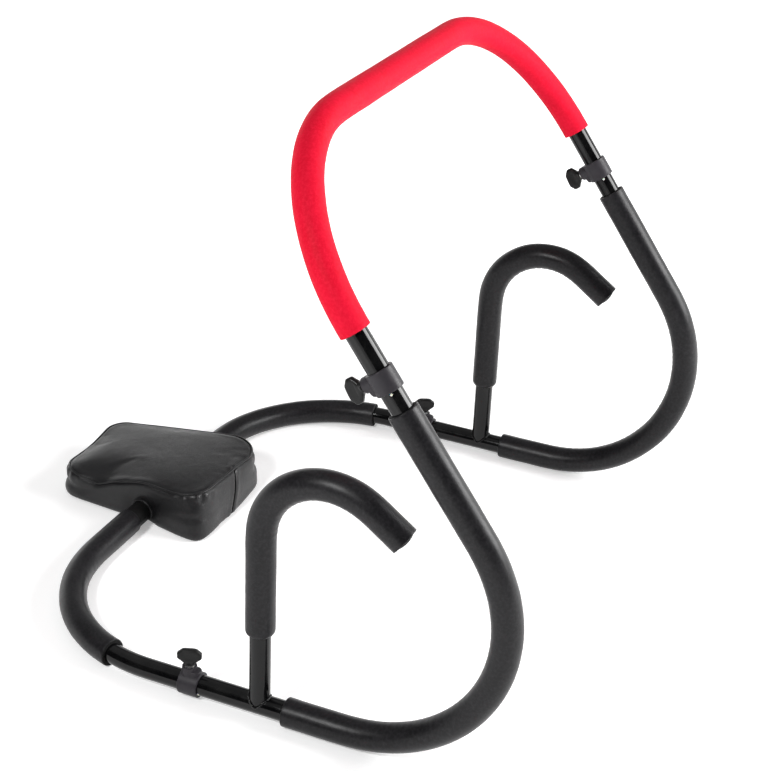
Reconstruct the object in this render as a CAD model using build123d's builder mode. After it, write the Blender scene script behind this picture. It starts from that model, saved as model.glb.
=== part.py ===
"""Ab roller: two rocking side frames with armrests, joined by an overhead push
handle and a rear bar that carries a swivelling head pad.

+X is the right-hand side seen from the foot end, +Y points to the head pad and
+Z is up. The origin lies on the floor at the centre of the overall footprint.
"""
import os
from math import cos, radians, sin, tan

from build123d import *

os.makedirs("parts", exist_ok=True)

# ---------------------------------------------------------------- dimensions
# Tubes and sleeves
tube_od = 22.2
tube_wall = 1.2
foam_od = 31.0
frame_width = 632.0          # between the centres of the two side frames

# Side frame: lower run, rocker bend and upper run, seen from the armrest post
lower_run = 95.5             # post to the start of the rocker bend
rocker_radius = 162.0
upright_slope = 54.0         # upper run above the floor
upper_run = 180.1            # rocker bend to the upper clamp
rear_run = 81.6              # post to the lower clamp
side_foam_gap = 30.0         # post to the end of the foam
side_foam_top_gap = 35.1     # foam to the upper clamp

# Armrest post
post_height = 204.0          # lower tube axis to the start of the hook
hook_radius = 73.5
hook_turn = 126.0
hook_tail = 42.0
post_foam_start = {"left": 88.0, "right": 83.5}   # lower tube axis to the foam's lower end
weld_leg = 2.3

# Push handle, measured along its legs from the upper clamp
handle_leg = 53.4
handle_radius = 170.5
handle_foam_start = 48.4

# Rear bar, measured from the lower clamp
rear_leg = 50.9
rear_radius = 169.0
rear_foam_angle = {"left": 16.2, "right": 6.5}   # where each foam starts in its bend
rear_foam_end_x = {"left": -72.0, "right": 122.5}

# Telescopic joints: swaged spigot in a lined socket under a clamp collar
socket_end = 3.6             # clamp stud to the open end of the side tube
spigot_gap = 0.3
swage_length = 4.0
spigot_length = 56.0
spigot_od = 17.6
spigot_wall = 1.2
slide_clearance = 0.07
bush_length = 46.0
peg_radius = 1.3
peg_height = 0.35
peg_drop = 15.4              # clamp stud to the liner's locating pegs
peg_turn = 25.0              # pegs sit this far round from the frame's side

collar_od = 27.6
collar_length = 22.5
collar_below = 13.9          # part of the collar beyond the stud, on the side tube
collar_round = 1.0
ridge_inset = 0.3            # collar end to the rounded end of the nut ridge
ridge_width = 14.0
ridge_height = 17.2          # tube axis to the top of the nut ridge
ridge_round = 1.6
boss_root_od = 16.8
boss_od = 15.6
boss_height = 20.8           # tube axis to the boss face

# Wing knobs with an M6 stud
stud_radius = 2.95
stud_hole = 3.1
nut_flats = 10.0
nut_height = 5.0
nut_recess = 0.5
nut_bore = 3.0
nut_pocket_flats = 10.1
stud_tip_round = 0.6
spacer_od = 9.6
spacer_height = 2.35
face_gap = 0.05
hub_radius = 5.8
hub_height = 6.4
hub_round = 0.6
wing_span = 25.0
wing_root = (4.0, 1.6)       # half width and height above the hub face, inside the hub
wing_widest = (7.2, 12.4)    # heights between which the wings are at full span
wing_top = 13.6              # width of the flat top
wing_height = 17.2           # hub face to the top of the wings
wing_thickness = 7.6
wing_round = 2.6
wing_edge = 1.5
stud_embed = 13.0
stud_tip_gap = 0.12
knob_turns = {
    "upper_left": 8.0,
    "upper_right": 12.0,
    "lower_left": 20.0,
    "lower_right": 26.0,
}

# Head pad
pad_width = 174.0
pad_taper = 5.0              # each side narrows this much towards the rear
pad_front = 84.5             # bar axis to the front wall
pad_rear = 125.5             # bar axis to the rear wall
pad_front_height = 60.0
pad_rear_height = 33.0
pad_corner = 24.0
pad_edge = 7.0
pad_bottom_edge = 3.0
pad_centre_x = 33.0
pad_skin = 1.2
sleeve_od = 26.5
sleeve_ends = (-70.5, 121.0)

# Armrest end plug
plug_head = 2.4
plug_stem = 14.0
plug_wall = 1.6

# ------------------------------------------------------------ derived values
tube_radius = tube_od / 2
tube_bore = tube_radius - tube_wall
foam_radius = foam_od / 2
half_width = frame_width / 2
tube_z = foam_radius
rocker_turn = 180 - upright_slope

front_reach = lower_run + rocker_radius + foam_radius
rear_reach = rear_run + rear_leg + rear_radius + pad_rear
post_y = (front_reach - rear_reach) / 2

handle_direction = Vector(0, cos(radians(upright_slope)), sin(radians(upright_slope)))
bend_centre = Vector(0, post_y - lower_run, tube_z + rocker_radius)
bend_exit = bend_centre + Vector(0, -handle_direction.Z, handle_direction.Y) * rocker_radius
upper_clamp = bend_exit + handle_direction * upper_run
lower_clamp = Vector(0, post_y + rear_run, tube_z)
bar_y = lower_clamp.Y + rear_leg + rear_radius

side_signs = {"left": -1, "right": 1}


# --------------------------------------------------------- shared operations
def bent_path(plane, start, heading, runs):
    """Walk straight runs (length,) and arcs (radius, turn) in a plane, end to end."""
    point = plane.from_local_coords(start)
    direction = plane.x_dir.rotate(Axis((0, 0, 0), plane.z_dir), heading)
    with BuildLine(plane) as path:
        for run in runs:
            if len(run) == 1:
                piece = Line(point, point + direction * run[0])
            else:
                piece = JernArc(point, direction, *run)
            point = piece @ 1
            direction = piece % 1
    return path.wire()


def sweep_ring(path, outer_radius, inner_radius):
    """Add a round tube that follows a path to the part being built."""
    with BuildSketch(Plane(origin=path @ 0, z_dir=path % 0)) as ring:
        Circle(outer_radius)
        Circle(inner_radius, mode=Mode.SUBTRACT)
    sweep(ring.sketch, path=path)


def round_bar(plane, radius, start, end, mode=Mode.ADD):
    """Add or cut a cylinder between two heights above a plane."""
    with BuildSketch(plane.offset(start)) as disc:
        Circle(radius)
    extrude(disc.sketch, amount=end - start, mode=mode)


def revolve_profile(plane, points):
    """Revolve a closed outline of (radius, height) points about a plane's normal."""
    profile_plane = Plane(origin=plane.origin, x_dir=plane.x_dir, z_dir=-plane.y_dir)
    with BuildSketch(profile_plane) as profile:
        with BuildLine():
            Polyline(*points, close=True)
        make_face()
    revolve(profile.sketch, axis=Axis(plane.origin, plane.z_dir))


def save(piece, name):
    """Label a finished piece and write its STEP file."""
    piece.part.label = name
    export_step(piece.part, f"parts/{name}.step")


# Each clamp's plane has its origin on the tube axis, its normal along the tube
# towards the sliding spigot and its X direction towards the wing knob.
clamps = {}
for side, sign in side_signs.items():
    offset = Vector(sign * half_width, 0, 0)
    clamps[f"upper_{side}"] = Plane(
        origin=upper_clamp + offset,
        x_dir=(0, handle_direction.Z, -handle_direction.Y),
        z_dir=handle_direction,
    )
    clamps[f"lower_{side}"] = Plane(
        origin=lower_clamp + offset,
        x_dir=(0, 0, 1),
        z_dir=(0, 1, 0),
    )


def stud_plane(clamp):
    """Plane square to the clamp stud, seen from the knob."""
    return Plane(origin=clamp.origin, x_dir=clamp.z_dir, z_dir=clamp.x_dir)


def peg_planes(clamp):
    """Planes square to the liner's two locating pegs."""
    base = clamp.offset(-peg_drop)
    facing = [Vector(1, 0, 0), Vector(-1, 0, 0)]
    turns = [peg_turn, -peg_turn]
    if clamp.y_dir.X < 0:
        turns.reverse()
    axis = Axis((0, 0, 0), clamp.z_dir)
    return [
        Plane(origin=base.origin, z_dir=direction.rotate(axis, turn))
        for direction, turn in zip(facing, turns)
    ]


# --------------------------------------------------------------- side frames
for side, sign in side_signs.items():
    frame_plane = Plane.YZ.offset(sign * half_width)
    side_clamps = [clamps[f"upper_{side}"], clamps[f"lower_{side}"]]

    # Frame tube: rear socket, lower run, rocker bend and upper socket in one bend
    tube_path = bent_path(
        frame_plane,
        (lower_clamp.Y + socket_end, tube_z),
        180,
        [
            (rear_run + socket_end + lower_run,),
            (rocker_radius, -rocker_turn),
            (upper_run + socket_end,),
        ],
    )
    with BuildPart() as side_tube:
        sweep_ring(tube_path, tube_radius, tube_bore)
        for clamp in side_clamps:
            round_bar(stud_plane(clamp), stud_hole, 0, tube_od, mode=Mode.SUBTRACT)
            for peg_plane in peg_planes(clamp):
                round_bar(peg_plane, peg_radius, 0, tube_od, mode=Mode.SUBTRACT)
    save(side_tube, f"{side}_side_tube")

    # Foam round the rocker bend
    foam_path = bent_path(
        frame_plane,
        (post_y - side_foam_gap, tube_z),
        180,
        [
            (lower_run - side_foam_gap,),
            (rocker_radius, -rocker_turn),
            (upper_run - side_foam_top_gap,),
        ],
    )
    with BuildPart() as side_foam:
        sweep_ring(foam_path, foam_radius, tube_radius)
    save(side_foam, f"{side}_side_foam")

    # Armrest post, notched over the lower tube
    post_path = bent_path(
        frame_plane,
        (post_y, tube_z),
        90,
        [(post_height,), (hook_radius, hook_turn), (hook_tail,)],
    )
    lower_axis = Plane(
        origin=(sign * half_width, post_y - tube_od, tube_z),
        x_dir=(1, 0, 0),
        z_dir=(0, 1, 0),
    )
    with BuildPart() as armrest_post:
        sweep_ring(post_path, tube_radius, tube_bore)
        round_bar(lower_axis, tube_radius, 0, 2 * tube_od, mode=Mode.SUBTRACT)
    save(armrest_post, f"{side}_armrest_post")

    # Weld round the notch: the corner between the two tubes, one leg out from each
    post_axis = Plane.XY.move(Location((sign * half_width, post_y, tube_z)))
    weld_radius = tube_radius + weld_leg
    with BuildPart() as weld:
        round_bar(post_axis, weld_radius, 0, weld_radius)
        round_bar(lower_axis, weld_radius, 0, 2 * tube_od, mode=Mode.INTERSECT)
        round_bar(lower_axis, tube_radius, 0, 2 * tube_od, mode=Mode.SUBTRACT)
        round_bar(post_axis, tube_radius, 0, tube_od, mode=Mode.SUBTRACT)
    save(weld, f"{side}_weld")

    # Armrest foam, flush with the end of the hook
    foam_path = bent_path(
        frame_plane,
        (post_y, tube_z + post_foam_start[side]),
        90,
        [(post_height - post_foam_start[side],), (hook_radius, hook_turn), (hook_tail,)],
    )
    with BuildPart() as armrest_foam:
        sweep_ring(foam_path, foam_radius, tube_radius)
    save(armrest_foam, f"{side}_armrest_foam")

    # Hollow plug with a domed head in the end of the hook
    plug_plane = Plane(origin=post_path @ 1, x_dir=(1, 0, 0), z_dir=post_path % 1)
    dome_radius = (tube_radius**2 + plug_head**2) / (2 * plug_head)
    with BuildPart() as end_plug:
        round_bar(plug_plane, tube_bore, -plug_stem, 0)
        round_bar(plug_plane, tube_radius, 0, plug_head)
        with Locations(plug_plane.offset(plug_head - dome_radius)):
            Sphere(dome_radius, mode=Mode.INTERSECT)
        round_bar(plug_plane, tube_bore - plug_wall, -plug_stem, -plug_wall, mode=Mode.SUBTRACT)
    save(end_plug, f"{side}_armrest_plug")

# --------------------------------------------------------------- push handle
crossbar = 2 * (half_width - handle_radius)
swage_start = socket_end + spigot_gap + swage_length
spigot_radius = spigot_od / 2
spigot_profile = [
    (tube_radius, 0),
    (spigot_radius, -swage_length),
    (spigot_radius, -spigot_length),
    (spigot_radius - spigot_wall, -spigot_length),
    (spigot_radius - spigot_wall, -swage_length),
    (tube_bore, 0),
]
handle_plane = Plane(
    origin=upper_clamp,
    x_dir=(1, 0, 0),
    z_dir=(0, -handle_direction.Z, handle_direction.Y),
)
handle_path = bent_path(
    handle_plane,
    (-half_width, swage_start),
    90,
    [
        (handle_leg - swage_start,),
        (handle_radius, -90),
        (crossbar,),
        (handle_radius, -90),
        (handle_leg - swage_start,),
    ],
)
with BuildPart() as handle_tube:
    sweep_ring(handle_path, tube_radius, tube_bore)
    for side in side_signs:
        revolve_profile(clamps[f"upper_{side}"].offset(swage_start), spigot_profile)
save(handle_tube, "handle_tube")

handle_foam_path = bent_path(
    handle_plane,
    (-half_width, handle_foam_start),
    90,
    [
        (handle_leg - handle_foam_start,),
        (handle_radius, -90),
        (crossbar,),
        (handle_radius, -90),
        (handle_leg - handle_foam_start,),
    ],
)
with BuildPart() as handle_foam:
    sweep_ring(handle_foam_path, foam_radius, tube_radius)
save(handle_foam, "handle_foam")

# ------------------------------------------------------------------ rear bar
rear_plane = Plane.XY.offset(tube_z)
rear_crossbar = 2 * (half_width - rear_radius)
rear_path = bent_path(
    rear_plane,
    (-half_width, lower_clamp.Y + swage_start),
    90,
    [
        (rear_leg - swage_start,),
        (rear_radius, -90),
        (rear_crossbar,),
        (rear_radius, -90),
        (rear_leg - swage_start,),
    ],
)
with BuildPart() as rear_tube:
    sweep_ring(rear_path, tube_radius, tube_bore)
    for side in side_signs:
        revolve_profile(clamps[f"lower_{side}"].offset(swage_start), spigot_profile)
save(rear_tube, "rear_tube")

for side, sign in side_signs.items():
    start_angle = rear_foam_angle[side]
    start = (
        sign * (half_width - rear_radius * (1 - cos(radians(start_angle)))),
        lower_clamp.Y + rear_leg + rear_radius * sin(radians(start_angle)),
    )
    straight = half_width - rear_radius - abs(rear_foam_end_x[side])
    rear_foam_path = bent_path(
        rear_plane,
        start,
        90 + sign * start_angle,
        [(rear_radius, sign * (90 - start_angle)), (straight,)],
    )
    with BuildPart() as rear_foam:
        sweep_ring(rear_foam_path, foam_radius, tube_radius)
    save(rear_foam, f"{side}_rear_foam")

# -------------------------------------------------- clamp joints, four alike
for corner, clamp in clamps.items():
    across = stud_plane(clamp)

    # Plastic collar with a round-ended nut ridge and a tapering boss
    collar_above = collar_length - collar_below
    with BuildPart() as collar:
        round_bar(clamp, collar_od / 2, -collar_below, collar_above)
        fillet(collar.edges().filter_by(GeomType.CIRCLE), collar_round)
        with BuildPart(mode=Mode.PRIVATE) as ridge:
            with BuildSketch(across):
                with Locations(((collar_above - collar_below) / 2, 0)):
                    SlotOverall(collar_length - 2 * ridge_inset, ridge_width)
            extrude(amount=ridge_height)
            fillet(ridge.faces().sort_by(Axis((0, 0, 0), clamp.x_dir))[-1].edges(), ridge_round)
        add(ridge.part)
        with Locations(across.offset(tube_radius)):
            Cone(boss_root_od / 2, boss_od / 2, boss_height - tube_radius,
                 align=(Align.CENTER, Align.CENTER, Align.MIN))
        round_bar(clamp, tube_radius + slide_clearance, -collar_length, collar_length,
                  mode=Mode.SUBTRACT)
        round_bar(across, stud_hole, 0, boss_height, mode=Mode.SUBTRACT)
        with BuildSketch(across.offset(boss_height - nut_recess - nut_height)):
            RegularPolygon(nut_pocket_flats / 2, 6, major_radius=False)
        extrude(amount=nut_recess + nut_height, mode=Mode.SUBTRACT)
    save(collar, f"{corner}_collar")

    # Nylon liner in the socket, held by two pegs
    liner_radius = spigot_radius + slide_clearance
    with BuildPart() as liner:
        round_bar(clamp, tube_bore, socket_end - bush_length, socket_end)
        for peg_plane in peg_planes(clamp):
            round_bar(peg_plane, peg_radius, 0, tube_radius + peg_height)
        round_bar(clamp, liner_radius, -bush_length, 2 * socket_end, mode=Mode.SUBTRACT)
        round_bar(across, stud_hole, 0, tube_od, mode=Mode.SUBTRACT)
    save(liner, f"{corner}_liner")

    # Hexagon nut in the ridge
    with BuildPart() as nut:
        with BuildSketch(across.offset(boss_height - nut_recess - nut_height)):
            RegularPolygon(nut_flats / 2, 6, major_radius=False)
            Circle(nut_bore, mode=Mode.SUBTRACT)
        extrude(amount=nut_height)
    save(nut, f"{corner}_nut")

    # Zinc-plated spacer between the nut and the knob
    spacer_base = boss_height - nut_recess + face_gap
    with BuildPart() as spacer:
        with BuildSketch(across.offset(spacer_base)):
            Circle(spacer_od / 2)
            Circle(stud_hole, mode=Mode.SUBTRACT)
        extrude(amount=spacer_height)
    save(spacer, f"{corner}_spacer")

    # Steel stud moulded into the knob
    hub_base = spacer_base + spacer_height + face_gap
    with BuildPart() as stud:
        round_bar(across, stud_radius, spigot_radius + stud_tip_gap, hub_base + stud_embed)
        tip = stud.edges().sort_by(Axis((0, 0, 0), clamp.x_dir))[0]
        chamfer(tip, stud_tip_round)
    save(stud, f"{corner}_stud")

    # Wing knob: a round hub that spreads into two flattened wings
    wing_direction = clamp.z_dir.rotate(Axis((0, 0, 0), clamp.x_dir), knob_turns[corner])
    wing_plane = Plane(
        origin=clamp.origin + clamp.x_dir * hub_base,
        x_dir=wing_direction,
        z_dir=wing_direction.cross(clamp.x_dir),
    )
    half_outline = [
        wing_root,
        (wing_span / 2, wing_widest[0]),
        (wing_span / 2, wing_widest[1]),
        (wing_top / 2, wing_height),
    ]
    other_half = [(-reach, height) for reach, height in reversed(half_outline)]
    with BuildPart() as knob:
        with BuildSketch(wing_plane):
            with BuildLine():
                Polyline(*half_outline, *other_half, close=True)
            make_face()
            fillet(vertices().sort_by(Axis((0, 0, 0), clamp.x_dir))[2:], wing_round)
        extrude(amount=wing_thickness / 2, both=True)
        rims = knob.edges().filter_by(Axis((0, 0, 0), wing_plane.z_dir), reverse=True)
        fillet(rims, wing_edge)
        with BuildPart(mode=Mode.PRIVATE) as hub:
            round_bar(across, hub_radius, hub_base, hub_base + hub_height)
            fillet(hub.edges().filter_by(GeomType.CIRCLE), hub_round)
        add(hub.part)
        round_bar(across, stud_radius, hub_base, hub_base + stud_embed, mode=Mode.SUBTRACT)
    save(knob, f"{corner}_knob")


# ------------------------------------------------------------------ head pad
def pad_block(inset):
    """Wedge cushion on a tapering rounded plan, drawn in by a constant inset."""
    front_y = bar_y - pad_front + inset
    rear_y = bar_y + pad_rear - inset
    half_front = pad_width / 2 - inset
    half_rear = half_front - (rear_y - front_y) * tan(radians(pad_taper))
    fall = (pad_front_height - pad_rear_height) / (pad_front + pad_rear)
    slope = Vector(0, 1, -fall).normalized()
    with BuildPart() as block:
        with BuildSketch(Plane.XY.offset(inset)):
            with BuildLine():
                Polyline(
                    (pad_centre_x - half_front, front_y),
                    (pad_centre_x + half_front, front_y),
                    (pad_centre_x + half_rear, rear_y),
                    (pad_centre_x - half_rear, rear_y),
                    close=True,
                )
            make_face()
            fillet(vertices(), pad_corner - inset)
        extrude(amount=pad_front_height)
        split(
            bisect_by=Plane(
                origin=(pad_centre_x, bar_y - pad_front, pad_front_height - inset),
                x_dir=(1, 0, 0),
                z_dir=Vector(1, 0, 0).cross(slope),
            ),
            keep=Keep.BOTTOM,
        )
        top_face, bottom_face = block.faces().sort_by(Axis.Z)[-1], block.faces().sort_by(Axis.Z)[0]
        fillet(top_face.edges(), pad_edge - inset)
        fillet(bottom_face.edges(), pad_bottom_edge - inset)
    return block.part


bar_plane = Plane(origin=(0, bar_y, tube_z), x_dir=(0, 1, 0), z_dir=(1, 0, 0))

# Plastic sleeve that turns on the bare middle of the rear bar
with BuildPart() as pad_sleeve:
    with BuildSketch(bar_plane.offset(sleeve_ends[0])):
        Circle(sleeve_od / 2)
        Circle(tube_radius + slide_clearance, mode=Mode.SUBTRACT)
    extrude(amount=sleeve_ends[1] - sleeve_ends[0])
save(pad_sleeve, "pad_sleeve")

# Foam wedge, bored for the sleeve
with BuildPart() as pad_foam:
    add(pad_block(pad_skin))
    round_bar(bar_plane, sleeve_od / 2, -half_width, half_width, mode=Mode.SUBTRACT)
save(pad_foam, "pad_foam")

# Sewn cover round the foam, with a hole for the sleeve in each side
with BuildPart() as pad_cover:
    add(pad_block(0))
    add(pad_block(pad_skin), mode=Mode.SUBTRACT)
    round_bar(bar_plane, sleeve_od / 2, -half_width, half_width, mode=Mode.SUBTRACT)
save(pad_cover, "pad_cover")
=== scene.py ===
"""Looks of the ab roller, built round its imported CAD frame: foam sleeves, sewn head
pad, weld beads, wing knobs and every finish. Lengths are in metres."""

from math import atan2, cos, exp, pi, radians, sin, sqrt, tan

import bmesh
import bpy
import numpy as np
from mathutils import Matrix, Vector, noise
from mathutils.kdtree import KDTree


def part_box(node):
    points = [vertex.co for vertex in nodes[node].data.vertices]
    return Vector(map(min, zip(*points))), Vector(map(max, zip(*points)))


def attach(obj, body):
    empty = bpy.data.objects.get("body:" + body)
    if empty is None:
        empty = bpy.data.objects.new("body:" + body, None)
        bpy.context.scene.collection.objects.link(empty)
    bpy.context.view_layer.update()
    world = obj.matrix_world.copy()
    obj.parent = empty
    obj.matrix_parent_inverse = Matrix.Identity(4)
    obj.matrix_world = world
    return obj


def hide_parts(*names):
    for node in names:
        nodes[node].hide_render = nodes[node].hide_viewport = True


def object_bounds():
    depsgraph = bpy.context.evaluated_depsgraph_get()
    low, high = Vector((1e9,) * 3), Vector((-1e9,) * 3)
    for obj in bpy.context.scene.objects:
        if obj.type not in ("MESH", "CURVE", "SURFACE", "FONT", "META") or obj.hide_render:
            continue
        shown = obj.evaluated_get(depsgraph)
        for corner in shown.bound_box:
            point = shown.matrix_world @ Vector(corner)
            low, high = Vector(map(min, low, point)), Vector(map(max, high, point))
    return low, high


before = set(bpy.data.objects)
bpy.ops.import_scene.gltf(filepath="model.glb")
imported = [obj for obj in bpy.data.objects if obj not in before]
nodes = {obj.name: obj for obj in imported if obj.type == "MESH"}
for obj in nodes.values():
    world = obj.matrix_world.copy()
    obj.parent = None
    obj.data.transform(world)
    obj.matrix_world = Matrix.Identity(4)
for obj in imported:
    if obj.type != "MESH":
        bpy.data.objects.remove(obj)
cad_low, cad_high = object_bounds()
scene = bpy.context.scene
mm = 0.001


# ------------------------------------------------------------ sizes from the frame
def box_size(name):
    low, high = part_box(name)
    return high - low


def box_centre(name):
    low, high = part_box(name)
    return (low + high) / 2


side_signs = {"left": -1, "right": 1}
corners = [f"{row}_{side}" for row in ("upper", "lower") for side in side_signs]

tube_radius = box_size("left_side_tube").x / 2
foam_radius = box_size("left_side_foam").x / 2
tube_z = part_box("left_side_foam")[0].z + foam_radius
half_width = box_centre("right_side_tube").x
post_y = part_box("left_armrest_post")[1].y - tube_radius
bar_y = box_centre("pad_sleeve").y
sleeve_radius = box_size("pad_sleeve").y / 2

# the tubes' bends, straight runs and foam ends, as in the CAD source
rocker_radius = 162 * mm
lower_run = 95.5 * mm
upper_run = 180.1 * mm
upright_slope = 54
rocker_turn = 180 - upright_slope
side_foam_gap = 30 * mm
side_foam_top_gap = 35.1 * mm
post_height = 204 * mm
hook_radius = 73.5 * mm
hook_turn = 126
hook_tail = 42 * mm
post_foam_start = {
    side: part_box(f"{side}_armrest_foam")[0].z - tube_z for side in side_signs
}
handle_leg = 53.4 * mm
handle_radius = 170.5 * mm
handle_foam_start = 48.4 * mm
rear_radius = 169 * mm
rear_foam_angle = {"left": 16.2, "right": 6.5}
rear_foam_end = {
    "left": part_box("left_rear_foam")[1].x,
    "right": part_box("right_rear_foam")[0].x,
}
clamp_run = 81.6 * mm                   # post to lower clamp, along the tube

upright = np.array((0, cos(radians(upright_slope)), sin(radians(upright_slope))))
upright_normal = np.array((0, upright[2], -upright[1]))
bend_centre = np.array((0, post_y - lower_run, tube_z + rocker_radius))
upper_clamp = bend_centre - upright_normal * rocker_radius + upright * upper_run
lower_clamp = np.array((0, post_y + clamp_run, tube_z))


# ----------------------------------------------------------------- shader helpers
def add_node(tree, kind, inputs=(), **settings):
    """A shader node with its settings, and its inputs given as values or sockets."""
    node = tree.nodes.new("ShaderNode" + kind)
    for key, value in settings.items():
        setattr(node, key, value)
    for key, value in dict(inputs).items():
        if isinstance(value, bpy.types.NodeSocket):
            tree.links.new(value, node.inputs[key])
        else:
            node.inputs[key].default_value = value
    return node


def new_material(name, **constants):
    """A Principled material with constant sockets set: itself, its tree, its shader and
    its object coordinates."""
    material = bpy.data.materials.new(name)
    material.use_nodes = True
    tree = material.node_tree
    shader = tree.nodes["Principled BSDF"]
    for key, value in constants.items():
        shader.inputs[key.replace("_", " ")].default_value = value
    return material, tree, shader, add_node(tree, "TexCoord").outputs["Object"]


def rgb(red, green, blue):
    return (red, green, blue, 1)


def grey(value):
    return rgb(value, value, value)


def link_surface(tree, shader, colour, roughness):
    tree.links.new(colour, shader.inputs["Base Color"])
    tree.links.new(roughness, shader.inputs["Roughness"])


def noise_texture(tree, vector, scale, detail=2.0, roughness=0.5, distortion=0.0):
    inputs = {"Vector": vector, "Scale": scale, "Detail": detail,
              "Roughness": roughness, "Distortion": distortion}
    return add_node(tree, "TexNoise", inputs).outputs["Fac"]


def voronoi_texture(tree, vector, scale, feature):
    inputs = {"Vector": vector, "Scale": scale}
    return add_node(tree, "TexVoronoi", inputs, feature=feature).outputs["Distance"]


def map_range(tree, value, low, high, to_low, to_high, **settings):
    inputs = {"Value": value, "From Min": low, "From Max": high,
              "To Min": to_low, "To Max": to_high}
    return add_node(tree, "MapRange", inputs, **settings).outputs["Result"]


def from_noise(tree, value, low=0, high=1):
    """The usual range of a noise, mapped to new limits."""
    return map_range(tree, value, 0.3, 0.7, low, high)


def smooth_range(tree, value, *ends):
    """A map range that eases in and out."""
    return map_range(tree, value, *ends, interpolation_type="SMOOTHSTEP")


def mix_colours(tree, factor, first, second):
    node = add_node(tree, "Mix", data_type="RGBA")
    sockets = (node.inputs[0], node.inputs[6], node.inputs[7])      # factor, A and B as colours
    for socket, value in zip(sockets, (factor, first, second)):
        if isinstance(value, bpy.types.NodeSocket):
            tree.links.new(value, socket)
        else:
            socket.default_value = value
    return node.outputs[2]


def add_bumps(tree, shader, layers):
    """Chain bump layers of (height, depth in metres, strength) into the normal."""
    normal = None
    for height, depth, strength in layers:
        inputs = {"Height": height, "Distance": depth, "Strength": strength}
        if normal is not None:
            inputs["Normal"] = normal
        normal = add_node(tree, "Bump", inputs).outputs["Normal"]
    tree.links.new(normal, shader.inputs["Normal"])


# ---------------------------------------------------------------------- materials
def foam_skin(name, dark, light, pale, roughness, sheen, specular):
    """Closed-cell foam rubber with a fine skin: mottled, pored, with a soft sheen."""
    material, tree, shader, place = new_material(
        name, Specular_IOR_Level=specular, Sheen_Weight=sheen, Sheen_Roughness=0.45)
    clouds = noise_texture(tree, place, 28, 4, 0.6)
    mottle = noise_texture(tree, place, 330, 3, 0.65)
    grain = noise_texture(tree, place, 900, 3, 0.6)
    pores = voronoi_texture(tree, place, 1500, "F1")
    tone = from_noise(tree, clouds)
    tinted = mix_colours(tree, tone, dark, light)
    fleck = map_range(tree, mottle, 0.4, 0.72, 0, 0.9)
    worn = from_noise(tree, clouds, roughness - 0.05, roughness + 0.07)
    link_surface(tree, shader, mix_colours(tree, fleck, tinted, pale), worn)
    add_bumps(tree, shader, [
        (noise_texture(tree, place, 120, 2, 0.5), 0.5 * mm, 0.1),
        (grain, 0.2 * mm, 0.22),
        (pores, 0.1 * mm, 0.25),
    ])
    return material


def foam_cut(name, dark, light):
    """Open cells where the foam was cut to length."""
    material, tree, shader, place = new_material(name, Specular_IOR_Level=0.15)
    cells = voronoi_texture(tree, place, 1100, "F1")
    coarse = noise_texture(tree, place, 400, 3, 0.7)
    pits = map_range(tree, cells, 0.1, 0.6, 0, 1)
    link_surface(tree, shader, mix_colours(tree, pits, light, dark),
                 from_noise(tree, coarse, 0.85, 1.0))
    add_bumps(tree, shader, [(coarse, 0.5 * mm, 0.5), (cells, 0.4 * mm, 0.8)])
    return material


def gloss_paint():
    """Black stove enamel: orange peel, a clear gloss and faint hairline wear."""
    material, tree, shader, place = new_material(
        "gloss_black_paint",
        Coat_Weight=0.24,
        Coat_Roughness=0.02,
        Specular_IOR_Level=0.16,
    )
    peel = noise_texture(tree, place, 260, 2, 0.5)
    stretch = add_node(tree, "Mapping", {"Vector": place, "Scale": (1, 0.06, 0.06)})
    hairlines = noise_texture(tree, stretch.outputs["Vector"], 2500, 2, 0.6)
    dust = noise_texture(tree, place, 40, 5, 0.65)
    tone = map_range(tree, dust, 0.45, 0.8, 0, 1)
    black = rgb(0.0022, 0.0022, 0.0025)
    dusty = grey(0.008)
    link_surface(tree, shader, mix_colours(tree, tone, black, dusty),
                 map_range(tree, dust, 0.3, 0.8, 0.09, 0.2))
    add_bumps(tree, shader, [(peel, 0.06 * mm, 0.25), (hairlines, 0.01 * mm, 0.2)])
    return material


def moulded_plastic(name, dark, light, roughness, specular, grain_scale, grain_depth):
    """Moulded plastic with a spark-eroded texture and slight handling shine."""
    material, tree, shader, place = new_material(name, Specular_IOR_Level=specular)
    handling = noise_texture(tree, place, 90, 4, 0.6)
    grain = noise_texture(tree, place, grain_scale, 3, 0.7)
    tone = from_noise(tree, handling)
    shine = from_noise(tree, handling, roughness - 0.07, roughness + 0.07)
    link_surface(tree, shader, mix_colours(tree, tone, dark, light), shine)
    add_bumps(tree, shader, [(grain, grain_depth, 0.5), (handling, 0.2 * mm, 0.1)])
    return material


def zinc_plate():
    """Bright zinc plating with a faint warm and blue passivation."""
    material, tree, shader, place = new_material("zinc_plate", Metallic=1.0)
    film = noise_texture(tree, place, 350, 3, 0.6)
    warm = rgb(0.74, 0.71, 0.62)
    cool = rgb(0.66, 0.7, 0.75)
    tone = from_noise(tree, film)
    link_surface(tree, shader, mix_colours(tree, tone, warm, cool),
                 from_noise(tree, film, 0.22, 0.4))
    add_bumps(tree, shader, [(noise_texture(tree, place, 1800, 2, 0.5), 0.02 * mm, 0.4)])
    return material


def milky_nylon():
    """Natural nylon, slightly yellowed in patches."""
    material, tree, shader, place = new_material(
        "milky_nylon", Subsurface_Weight=0.2, Subsurface_Scale=0.002, Specular_IOR_Level=0.5)
    patches = noise_texture(tree, place, 200, 3, 0.5)
    tone = from_noise(tree, patches)
    fresh, yellowed = rgb(0.75, 0.74, 0.7), rgb(0.66, 0.64, 0.57)
    link_surface(tree, shader, mix_colours(tree, tone, fresh, yellowed),
                 from_noise(tree, patches, 0.3, 0.45))
    add_bumps(tree, shader, [(noise_texture(tree, place, 1500, 2, 0.5), 0.03 * mm, 0.4)])
    return material


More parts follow.
